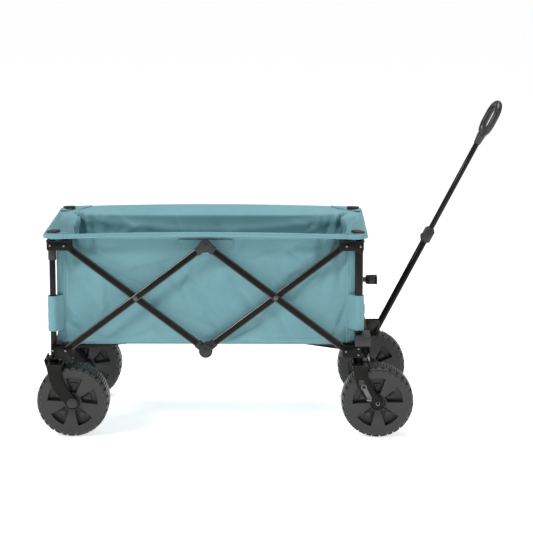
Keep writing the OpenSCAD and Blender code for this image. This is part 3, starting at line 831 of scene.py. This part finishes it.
def cloth_of(name, colour, dark):
    cloth = bpy.data.materials.new(name)
    cloth.use_nodes = True
    tree = cloth.node_tree
    shader = tree.nodes["Principled BSDF"]
    woven = add(tree, "ShaderNodeGroup", node_tree=WEAVE)
    woven.inputs["Color"].default_value = (*colour, 1)
    woven.inputs["Dark"].default_value = (*dark, 1)
    relief = add(tree, "ShaderNodeBump", {"Strength": 0.25, "Distance": 0.0003})
    tree.links.new(woven.outputs["Height"], relief.inputs["Height"])
    hand = add(tree, "ShaderNodeBump", {"Strength": 0.30, "Distance": 0.010})
    tree.links.new(woven.outputs["Crumple"], hand.inputs["Height"])
    tree.links.new(hand.outputs["Normal"], relief.inputs["Normal"])
    tree.links.new(woven.outputs["Color"], shader.inputs["Base Color"])
    tree.links.new(woven.outputs["Roughness"], shader.inputs["Roughness"])
    tree.links.new(relief.outputs["Normal"], shader.inputs["Normal"])
    shader.inputs["Sheen Weight"].default_value = 0.15
    shader.inputs["Sheen Roughness"].default_value = 0.5
    return cloth


# the second colour is the painted shade mixed into the cloth's patches
teal_cloth = cloth_of("teal_cloth", (0.148, 0.322, 0.362), (0.092, 0.235, 0.272))

# ---- Tub -------------------------------------------------------------------
# One sewn bag of pack cloth: four walls that flare over the frame to a hemmed rim. It is
# sewn from a middle length and two ends, and the joins are seams near the corners.
WALL_X, WALL_Y = 0.403, 0.206
RIM_X, RIM_Y = 0.443, 0.257
CUT = 0.674
HEM_Z = 0.256
# inner edge of the strip of floor that is sewn to the walls
FLOOR_X, FLOOR_Y = WALL_X - 0.017, WALL_Y - 0.009
CELL = 0.005
SEAM_X = 0.394


def rim_height(x, y):
    return 0.5665 + 0.0085 * (1 - (x / RIM_X) ** 2) * (abs(y) / RIM_Y)


def ease(value):
    share = min(1.0, max(0.0, value))
    return share * share * (3 - 2 * share)


def tub_point(x, y, row):
    """Where a point of the wall's ring goes: row -1 is the floor's edge, 0 the lower hem, 1 the
    top of the upright wall, 2 the rim and 3 the edge of its hem."""
    if row < 0:
        return Vector((max(-FLOOR_X, min(FLOOR_X, x)), max(-FLOOR_Y, min(FLOOR_Y, y)), HEM_Z + 0.0018))
    on_side = abs(y) >= WALL_Y - 1e-6
    if on_side:
        outer_x = x * (CUT - 0.244) / WALL_X
        outer = Vector((outer_x, math.copysign(min(RIM_Y, CUT - abs(outer_x)), y), 0))
    else:
        outer_y = y * 0.244 / WALL_Y
        outer = Vector((math.copysign(min(RIM_X, CUT - abs(outer_y)), x), outer_y, 0))
    if abs(y) >= WALL_Y - 1e-6 and abs(x) >= WALL_X - 1e-6:
        outer = Vector((math.copysign(0.430, x), math.copysign(0.244, y), 0))
    corner = math.exp(-((WALL_X - abs(x)) + (WALL_Y - abs(y))) / 0.05)
    inner = Vector((x, y, 0))
    # the sides stand upright behind the bars and brackets, and the ends slope out to the rim
    upright = 0.550 if on_side else 0.546 - 0.062 * ease((0.192 - abs(y)) / 0.07)
    top = upright + (0.562 - upright) * corner
    if row <= 1:
        return Vector((x, y, HEM_Z + (top - HEM_Z) * row))
    if row <= 2:
        share = row - 1
        ring = inner.lerp(outer, share)
        # level round the corners, where the rim is doubled, and sloping between them
        ring.z = top + (rim_height(outer.x, outer.y) - top) * share ** (1.0 - 0.7 * corner)
        return ring
    ring = outer * 1.0
    away = Vector((outer.x, outer.y, 0)).normalized() * 0.0015
    ring += away
    ring.z = rim_height(outer.x, outer.y) - 0.012 * (row - 2)
    return ring


def tub_mesh():
    columns_x = round(2 * WALL_X / CELL)
    columns_y = round(2 * WALL_Y / CELL)
    ring = [(-WALL_X + 2 * WALL_X * i / columns_x, -WALL_Y) for i in range(columns_x)]
    ring += [(WALL_X, -WALL_Y + 2 * WALL_Y * i / columns_y) for i in range(columns_y)]
    ring += [(WALL_X - 2 * WALL_X * i / columns_x, WALL_Y) for i in range(columns_x)]
    ring += [(-WALL_X, WALL_Y - 2 * WALL_Y * i / columns_y) for i in range(columns_y)]
    rows = [-1.0] + list(np.linspace(0, 1, 60)) + list(np.linspace(1, 2, 14)[1:]) + [2.4, 2.7, 3.0]
    bpy.ops.mesh.primitive_circle_add(vertices=len(ring), radius=0.5)
    piece = bpy.context.object
    edit("VERT")
    bpy.ops.mesh.select_all(action="SELECT")
    for _ in rows[1:]:
        bpy.ops.mesh.extrude_region_move(TRANSFORM_OT_translate={"value": (0, 0, 0.01)})
    done()
    heights = sorted({round(v.co.z, 4) for v in piece.data.vertices})
    first = len(ring)
    for vertex in piece.data.vertices:
        row = heights.index(round(vertex.co.z, 4))
        turn = math.atan2(vertex.co.y, vertex.co.x)
        column = round((turn - math.pi / 2) / (2 * math.pi) * first) % first
        x, y = ring[column]
        vertex.co = tub_point(x, y, rows[row]) + Vector((MID_X, 0, 0))
    return piece


tub = tub_mesh()
tub.name = "tub"


# folds pressed into the near wall, and into the far wall end for end: both ends of each,
# its depth outward, and how sharp it is on either side
FOLDS = [
    ((-0.355, 0.520), (-0.247, 0.470), 0.0040, 0.007, 0.020),
    ((-0.312, 0.472), (-0.180, 0.418), 0.0065, 0.006, 0.030),
    ((-0.191, 0.463), (-0.115, 0.482), -0.0050, 0.007, 0.018),
    ((-0.284, 0.402), (-0.292, 0.318), 0.0030, 0.007, 0.015),
    ((-0.378, 0.305), (-0.290, 0.270), 0.0060, 0.007, 0.022),
    ((-0.388, 0.350), (-0.330, 0.282), -0.0045, 0.006, 0.015),
    ((-0.125, 0.352), (0.015, 0.298), 0.0035, 0.010, 0.030),
    ((0.050, 0.468), (0.180, 0.502), 0.0035, 0.009, 0.030),
    ((0.245, 0.445), (0.322, 0.472), -0.0055, 0.006, 0.018),
    ((0.300, 0.508), (0.365, 0.540), 0.0045, 0.007, 0.020),
    ((0.195, 0.412), (0.255, 0.345), 0.0035, 0.008, 0.022),
    ((0.325, 0.268), (0.388, 0.312), 0.0055, 0.006, 0.022),
    ((0.352, 0.276), (0.391, 0.365), -0.0045, 0.006, 0.015),
    ((0.075, 0.262), (0.145, 0.292), 0.0035, 0.007, 0.016),
    ((-0.205, 0.262), (-0.150, 0.294), 0.0035, 0.007, 0.016),
    ((-0.060, 0.420), (-0.020, 0.505), 0.0030, 0.007, 0.020),
    ((0.100, 0.395), (0.150, 0.330), -0.0030, 0.007, 0.020),
    ((-0.345, 0.430), (-0.300, 0.360), -0.0030, 0.007, 0.020),
]
# and many short creases left from packing, most of them slanting like the bars
chance = random.Random(11)
for _ in range(46):
    start = (chance.uniform(-0.37, 0.37), chance.uniform(0.275, 0.525))
    slant = math.radians(chance.choice([-1, 1]) * chance.uniform(15, 75))
    length = chance.uniform(0.02, 0.085)
    end = (start[0] + length * math.cos(slant), start[1] + length * math.sin(slant))
    FOLDS.append((start, end, chance.choice([-1, 1]) * chance.uniform(0.0008, 0.0019),
                  chance.uniform(0.0035, 0.006), chance.uniform(0.009, 0.017)))


def fold_depth(x, z):
    total = 0.0
    for (ax, az), (bx, bz), depth, sharp, soft in FOLDS:
        dx, dz = bx - ax, bz - az
        length = math.hypot(dx, dz)
        if abs(x - (ax + bx) / 2) + abs(z - (az + bz) / 2) > length + 0.06:
            continue
        along = ((x - ax) * dx + (z - az) * dz) / length
        off = ((z - az) * dx - (x - ax) * dz) / length
        past = max(0.0, -along, along - length)
        width = sharp if off > 0 else soft
        total += 1.5 * depth * math.exp(-(off / width) ** 2 - (past / 0.018) ** 2)
    return total


def rumple(piece):
    """Soft billows, pressed folds, and pleats where the cloth is gathered into each corner."""
    for vertex in piece.data.vertices:
        x, y, z = vertex.co.x - MID_X, vertex.co.y, vertex.co.z
        if z > 0.5645 or abs(y) > 0.250 or abs(x) > 0.436:
            continue
        low = min(1.0, (z - HEM_Z) / 0.02)
        high = min(1.0, (0.5645 - z) / 0.012)
        rise = min(1.0, max(0.0, (z - 0.38) / 0.14))
        side_wall = abs(y) >= WALL_Y - 1e-4
        gap = (WALL_X - abs(x)) if side_wall else (WALL_Y - abs(y))
        pleat = -rise * high * (0.014 * math.exp(-((gap - 0.036) / 0.013) ** 2)
                                + 0.008 * math.exp(-((gap - 0.084) / 0.012) ** 2))
        if side_wall:
            flip = 1 if y < 0 else -1
            billow = 0.0035 * math.sin(math.pi * (z - HEM_Z) / 0.3) * math.cos(x * 9.0 + flip)
            # the far wall hangs in one long swag below its rim
            swag = 0.535 - 0.030 * max(0.0, 1 - (x / 0.33) ** 2)
            drape = -0.0045 * math.exp(-((z - swag) / 0.013) ** 2) * (1 if y > 0 else 0.3)
            tuck = 0.5 + 0.5 * math.sin(2 * math.pi * (gap + 0.25 * (z - 0.55)) / 0.027)
            pleat -= 0.008 * tuck * math.exp(-(gap / 0.075) ** 2) * ease((z - 0.43) / 0.09) * high
            push = (fold_depth(flip * x, z) + billow) * low * high * min(1.0, gap / 0.03)
            # the brackets come close outside the wall at both ends, and all along it in the fold
            room = 0.0030 if z > 0.505 or z < 0.275 else 0.0100
            vertex.co.y += math.copysign(1, y) * (min(push, room) + drape * high + pleat)
        elif abs(x) > WALL_X - 1e-4:
            billow = 0.004 * math.sin(math.pi * (z - HEM_Z) / 0.3) * math.cos(y * 14.0)
            push = (billow + 0.6 * fold_depth(y * 1.9, z)) * low * high * min(1.0, gap / 0.03)
            gather = 0.0085 * math.sin(gap * 96 + 14 * z) * rise * high * math.exp(-gap / 0.13)
            vertex.co.x += math.copysign(1, x) * (min(push, 0.005) + pleat - abs(gather))


rumple(tub)
thread = coated("thread", (0.24, 0.42, 0.45), (0.4, 0.55, 0.58), 0.6, 1500, 0.1)


def take(piece, keep, thickness):
    part = piece.copy()
    part.data = piece.data.copy()
    bpy.context.collection.objects.link(part)
    only(part)
    edit("FACE")
    pick(part, "FACE", lambda f: not keep(f.calc_center_median().x - MID_X))
    bpy.ops.mesh.delete(type="FACE")
    done()
    return cloth_layer(part, thickness, 0)


def cloth_layer(part, thickness, levels=1):
    thicken(part, thickness)
    if levels:
        smooth = part.modifiers.new("smooth", "SUBSURF")
        smooth.levels = smooth.render_levels = levels
        bpy.ops.object.modifier_apply(modifier="smooth")
    bpy.ops.object.shade_smooth()
    part.data.materials.clear()
    part.data.materials.append(teal_cloth)
    return part


def stitches(start, end, across, sag=0.0):
    """A row of thread dashes from start to end, raised at the middle by sag."""
    start, end, across = Vector(start), Vector(end), Vector(across)
    count = 2 * round((end - start).length / 0.0075) + 1
    bpy.ops.mesh.primitive_grid_add(x_subdivisions=count, y_subdivisions=1, size=1)
    row = bpy.context.object
    edit("FACE")
    pick(row, "FACE", lambda f: round((f.calc_center_median().x + 0.5) * count - 0.5) % 2 == 1)
    bpy.ops.mesh.delete(type="FACE")
    done()
    for vertex in row.data.vertices:
        share = vertex.co.x + 0.5
        vertex.co = start.lerp(end, share) + across * (vertex.co.y * 0.0014)
        vertex.co.z += sag * 4 * share * (1 - share)
    thicken(row, 0.0009)
    row.data.materials.append(thread)
    return row


# the ends lap over the middle length by one row, in a doubled seam
tub_middle = take(tub, lambda x: abs(x) < SEAM_X, 0.0016)
tub_rear = take(tub, lambda x: x <= CELL - SEAM_X, 0.0026)
tub_front = take(tub, lambda x: x >= SEAM_X - CELL, 0.0026)
bpy.data.objects.remove(tub)

# rim hem stitched along both sides, the hem at the bottom, and the hubs' backing patches
side_work = [tub_middle]
for side in (-1, 1):
    for reach, y, z, sag in ((0.392, RIM_Y + 0.0028, 0.5576, 0.0085), (0.388, WALL_Y + 0.0015, 0.2660, 0.0)):
        side_work.append(stitches((MID_X - reach, side * y, z), (MID_X + reach, side * y, z), (0, 0, 1), sag))
    bpy.ops.mesh.primitive_grid_add(x_subdivisions=20, y_subdivisions=5, size=1)
    patch = bpy.context.object
    for vertex in patch.data.vertices:
        x = vertex.co.x * 0.152
        lowest = 0.506 + max(0.0, (abs(x) - 0.020) / 0.056) * 0.024
        vertex.co = (MID_X + x, side * 0.2102, lowest + (0.548 - lowest) * (vertex.co.y + 0.5))
    side_work.append(cloth_layer(patch, 0.0020))
    for k in (-1, 1):
        side_work.append(stitches((MID_X + k * 0.018, side * 0.2116, 0.5095),
                                  (MID_X + k * 0.072, side * 0.2116, 0.5325), (0, 0, 1)))
tub_middle = join(side_work)


def sleeve(end, side, low, high):
    """A loop of cloth round the post, drawn in to the tub's corner seam."""
    post = Vector((MID_X + end * POST_X, side * POST_Y, 0))
    seam = Vector((MID_X + end * SEAM_X, side * (WALL_Y + 0.001), 0))
    radius = 0.0135
    bpy.ops.mesh.primitive_cylinder_add(vertices=40, radius=radius, depth=high - low, end_fill_type="NOTHING",
                                        location=(post.x, post.y, (low + high) / 2))
    piece = bpy.context.object
    place_mesh(piece)
    edit("EDGE")
    pick(piece, "EDGE", lambda e: abs(e.verts[0].co.z - e.verts[1].co.z) > 0.01)
    bpy.ops.mesh.subdivide(number_cuts=9)
    done()
    inward = (seam - post).normalized()
    for vertex in piece.data.vertices:
        flat = Vector((vertex.co.x, vertex.co.y, 0)) - post
        pull = max(0.0, flat.normalized().dot(inward))
        squeeze = 1 - 0.55 * pull ** 2
        moved = flat * squeeze + inward * (pull ** 3) * ((seam - post).length - radius * 0.45)
        moved += flat.normalized() * 0.0006 * math.sin(vertex.co.z * 190 + 5 * flat.angle(inward))
        vertex.co.x, vertex.co.y = post.x + moved.x, post.y + moved.y
    return cloth_layer(piece, 0.0018)


def gusset(end, side):
    """The flat doubled corner of the rim, cut off square to the diagonal, over the bracket."""
    bpy.ops.mesh.primitive_grid_add(x_subdivisions=14, y_subdivisions=14, size=1)
    piece = bpy.context.object
    along_side, along_end = Vector((end * 0.352, side * 0.255)), Vector((end * 0.441, side * 0.178))
    for vertex in piece.data.vertices:
        u, v = vertex.co.x + 0.5, vertex.co.y + 0.5
        # u runs along the rim round the corner, v from the rim in to the diagonal
        if u < 0.5:
            rim = along_side.lerp(Vector((end * 0.416, side * 0.255)), u * 2)
        else:
            rim = Vector((end * 0.441, side * 0.230)).lerp(along_end, u * 2 - 1)
        inner = along_side.lerp(along_end, u)
        spot = rim.lerp(inner, v)
        height = rim_height(rim.x, rim.y) + 0.0016 - 0.005 * v * math.sin(math.pi * u)
        vertex.co = (MID_X + spot.x, spot.y, height)
    only(piece)
    edit("VERT")
    bpy.ops.mesh.select_all(action="SELECT")
    bpy.ops.mesh.remove_doubles(threshold=0.0002)
    bpy.ops.mesh.normals_make_consistent(inside=False)
    done()
    return cloth_layer(piece, 0.0020)


for end, low, high, panel, body in [(-1, 0.293, 0.393, "rear_end_panel", "rear_top"),
                                    (1, 0.297, 0.396, "front_end_panel", "front_top")]:
    end_work = [tub_rear if end < 0 else tub_front]
    for side in (-1, 1):
        end_work += [sleeve(end, side, low, high), gusset(end, side)]
        end_work.append(stitches((MID_X + end * 0.360, side * 0.2495, 0.5685),
                                 (MID_X + end * 0.4365, side * 0.1835, 0.5685), (end * 0.65, side * 0.76, 0)))
        bpy.ops.mesh.primitive_grid_add(x_subdivisions=3, y_subdivisions=40, size=1)
        flap = bpy.context.object
        for vertex in flap.data.vertices:
            reach, height = vertex.co.x + 0.5, 0.262 + 0.284 * (vertex.co.y + 0.5)
            vertex.co = (MID_X + end * (SEAM_X + 0.002 + 0.0165 * reach),
                         side * (0.2078 + 0.0006 * reach * math.sin(height * 70)), height)
        end_work.append(cloth_layer(flap, 0.0018))
        seam_x = MID_X + end * (SEAM_X + 0.0035)
        seam_y = side * (WALL_Y + 0.0014)
        end_work.append(stitches((seam_x, seam_y, 0.262), (seam_x, seam_y, 0.540), (1, 0, 0)))
    rim_x = MID_X + end * (RIM_X + 0.0028)
    end_work.append(stitches((rim_x, -0.222, 0.5572), (rim_x, 0.222, 0.5572), (0, 0, 1)))
    finish_piece(join(end_work), f"tub_{'rear' if end < 0 else 'front'}", body, None, "fabric", panel)
finish_piece(tub_middle, "tub_middle", "rear_top", None, "fabric", "side_panel_near", "side_panel_far")
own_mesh(tub_middle)

# ---- Floor mats ------------------------------------------------------------
# Two stiffened mats in the same cloth lie on the floor braces and meet at the middle.
for name, body, low_x, high_x in [("floor_mat_rear", "rear_brace", -0.384, -0.0005),
                                  ("floor_mat_front", "front_brace", 0.0005, 0.378)]:
    bpy.ops.mesh.primitive_cube_add(size=1)
    mat = bpy.context.object
    mat.scale = (high_x - low_x, 0.392, 0.007)
    mat.location = (MID_X + (low_x + high_x) / 2, 0, 0.2528)
    place_mesh(mat)
    soften(mat, 0.003, 3)
    finish_piece(mat, name, body, teal_cloth, "fabric", "floor_panel")
